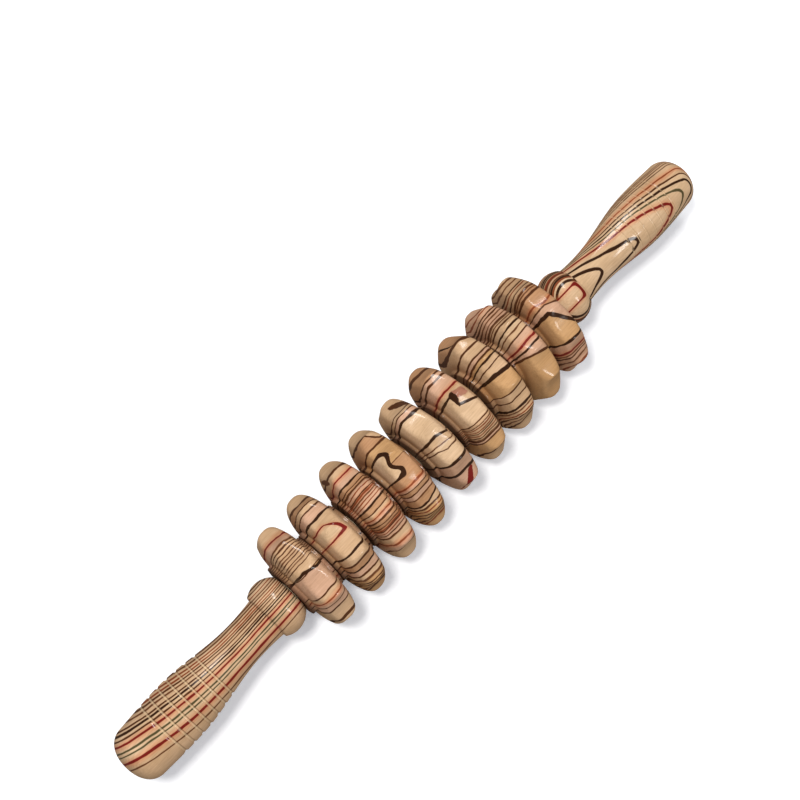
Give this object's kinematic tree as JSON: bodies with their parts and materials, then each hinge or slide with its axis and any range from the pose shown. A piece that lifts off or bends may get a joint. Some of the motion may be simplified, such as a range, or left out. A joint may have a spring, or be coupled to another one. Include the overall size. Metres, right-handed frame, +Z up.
{
  "type": "wooden roller massager",
  "caption": "Hand-held wooden massage stick: a row of loose lobed rollers turns freely on a hidden dowel between turned, ringed handles.",
  "frame": {"origin": "on the dowel's axis, midway between the outer ends of the two handles", "axes": "+X along the stick towards right_handle, +Z up when the stick lies on its rollers on a table, +Y across the stick"},
  "size_m": [0.36, 0.0538, 0.054],
  "materials": {
    "handle_wood": "glossy clear lacquer over laminated, dyed veneers",
    "light_roller_wood": "glossy clear lacquer over laminated, dyed veneers",
    "warm_roller_wood": "glossy clear lacquer over laminated, dyed veneers",
    "dowel_wood": "plain sanded"
  },
  "bodies": {
    "stick": {"left_handle": "handle_wood", "right_handle": "handle_wood", "axle": "dowel_wood"},
    "roller_1": {"roller_1": "warm_roller_wood"},
    "roller_2": {"roller_2": "light_roller_wood"},
    "roller_3": {"roller_3": "warm_roller_wood"},
    "roller_4": {"roller_4": "warm_roller_wood"},
    "roller_5": {"roller_5": "light_roller_wood"},
    "roller_6": {"roller_6": "light_roller_wood"},
    "roller_7": {"roller_7": "warm_roller_wood"},
    "roller_8": {"roller_8": "warm_roller_wood"},
    "roller_9": {"roller_9": "warm_roller_wood"}
  },
  "joints": [
    {"name": "roller_1_spin", "type": "hinge", "parent": "stick", "child": "roller_1", "pos_m": [-0.07645, 0, 0], "axis": [1, 0, 0], "continuous": true},
    {"name": "roller_2_spin", "type": "hinge", "parent": "stick", "child": "roller_2", "pos_m": [-0.05775, 0, 0], "axis": [1, 0, 0], "continuous": true},
    {"name": "roller_3_spin", "type": "hinge", "parent": "stick", "child": "roller_3", "pos_m": [-0.03805, 0, 0], "axis": [1, 0, 0], "continuous": true},
    {"name": "roller_4_spin", "type": "hinge", "parent": "stick", "child": "roller_4", "pos_m": [-0.01944, 0, 0], "axis": [1, 0, 0], "continuous": true},
    {"name": "roller_5_spin", "type": "hinge", "parent": "stick", "child": "roller_5", "pos_m": [0.00066, 0, 0], "axis": [1, 0, 0], "continuous": true},
    {"name": "roller_6_spin", "type": "hinge", "parent": "stick", "child": "roller_6", "pos_m": [0.01984, 0, 0], "axis": [1, 0, 0], "continuous": true},
    {"name": "roller_7_spin", "type": "hinge", "parent": "stick", "child": "roller_7", "pos_m": [0.03914, 0, 0], "axis": [1, 0, 0], "continuous": true},
    {"name": "roller_8_spin", "type": "hinge", "parent": "stick", "child": "roller_8", "pos_m": [0.05775, 0, 0], "axis": [1, 0, 0], "continuous": true},
    {"name": "roller_9_spin", "type": "hinge", "parent": "stick", "child": "roller_9", "pos_m": [0.07645, 0, 0], "axis": [1, 0, 0], "continuous": true}
  ]
}
